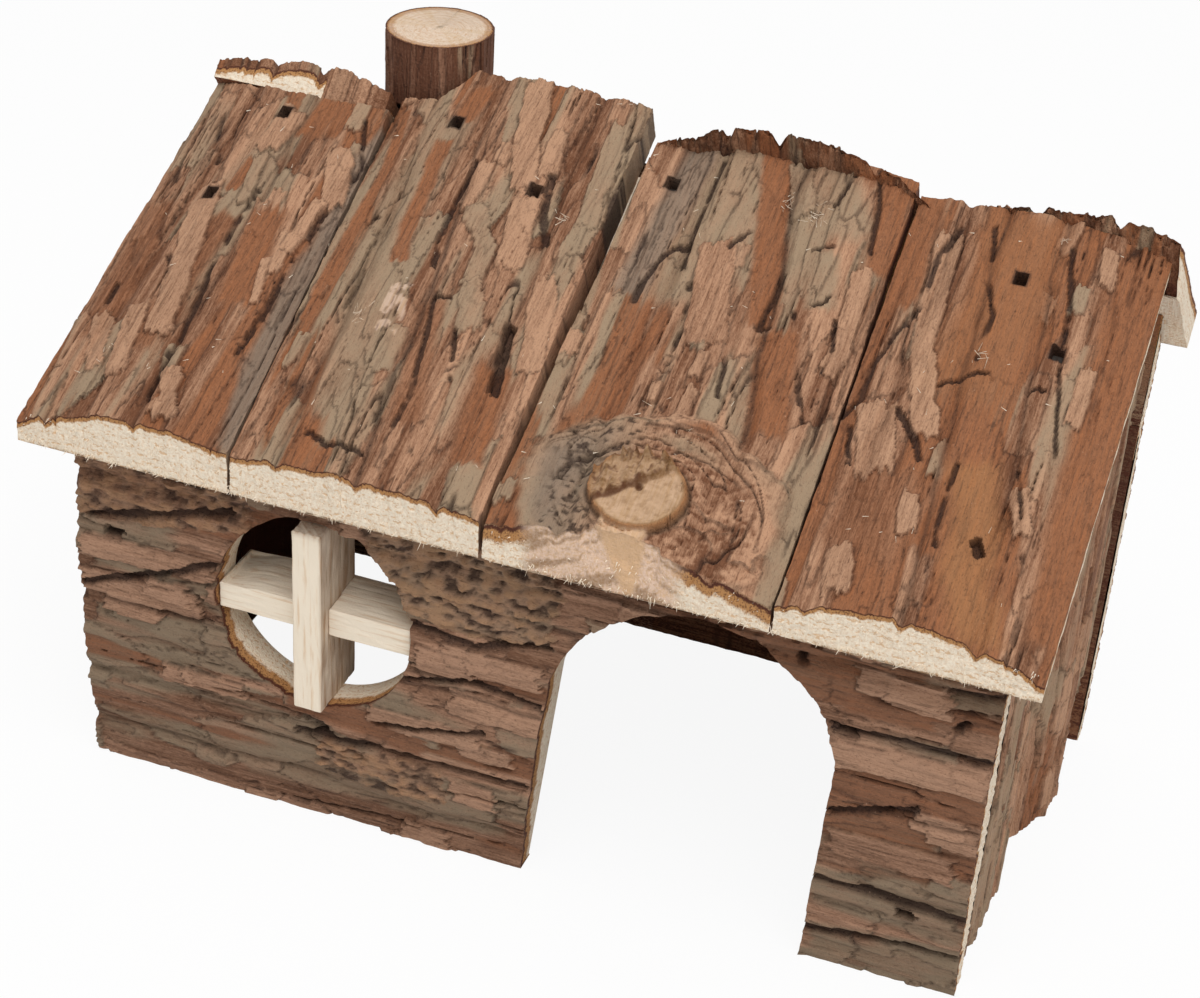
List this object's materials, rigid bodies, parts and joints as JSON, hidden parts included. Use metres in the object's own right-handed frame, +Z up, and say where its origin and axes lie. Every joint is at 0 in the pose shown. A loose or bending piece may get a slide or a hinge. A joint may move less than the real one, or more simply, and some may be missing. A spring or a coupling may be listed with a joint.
{
  "type": "hamster house",
  "caption": "Small pet house of bark-covered log slabs with a lean roof, an arched doorway, a round window with a cross and a round branch as a chimney.",
  "frame": {"origin": "on the floor, under the middle of the roof", "axes": "+X to the right as seen from the door side, +Y from the door side to the rear wall, +Z up"},
  "size_m": [0.22, 0.1214, 0.1408],
  "materials": {
    "wall_slab": "rough bark outside, sawn pale wood inside",
    "roof_slab": "rough bark outside, sawn pale wood inside",
    "sawn_strip": "sawn, unfinished",
    "branch": "thin smooth bark, sawn pale end",
    "brad_steel": "dull"
  },
  "bodies": {
    "root": {"front_wall": "wall_slab", "side_wall_right_front_slab": "wall_slab", "side_wall_right_rear_slab": "wall_slab", "side_wall_left_front_slab": "wall_slab", "side_wall_left_rear_slab": "wall_slab", "rear_wall_lower_slab": "wall_slab", "rear_wall_upper_slab": "wall_slab", "roof_front_slab_1": "roof_slab", "roof_front_slab_2": "roof_slab", "roof_front_slab_3": "roof_slab", "roof_front_slab_4": "roof_slab", "roof_rear_slab_1": "roof_slab", "roof_rear_slab_2": "roof_slab", "roof_rear_slab_3": "roof_slab", "roof_rear_slab_4": "roof_slab", "window_upright_bar": "sawn_strip", "window_cross_bar": "sawn_strip", "ridge_batten": "sawn_strip", "chimney": "branch", "front_roof_brads": "brad_steel", "rear_roof_brads": "brad_steel", "front_wall_brads": "brad_steel", "rear_wall_brads": "brad_steel", "chimney_brad": "brad_steel"}
  },
  "joints": []
}
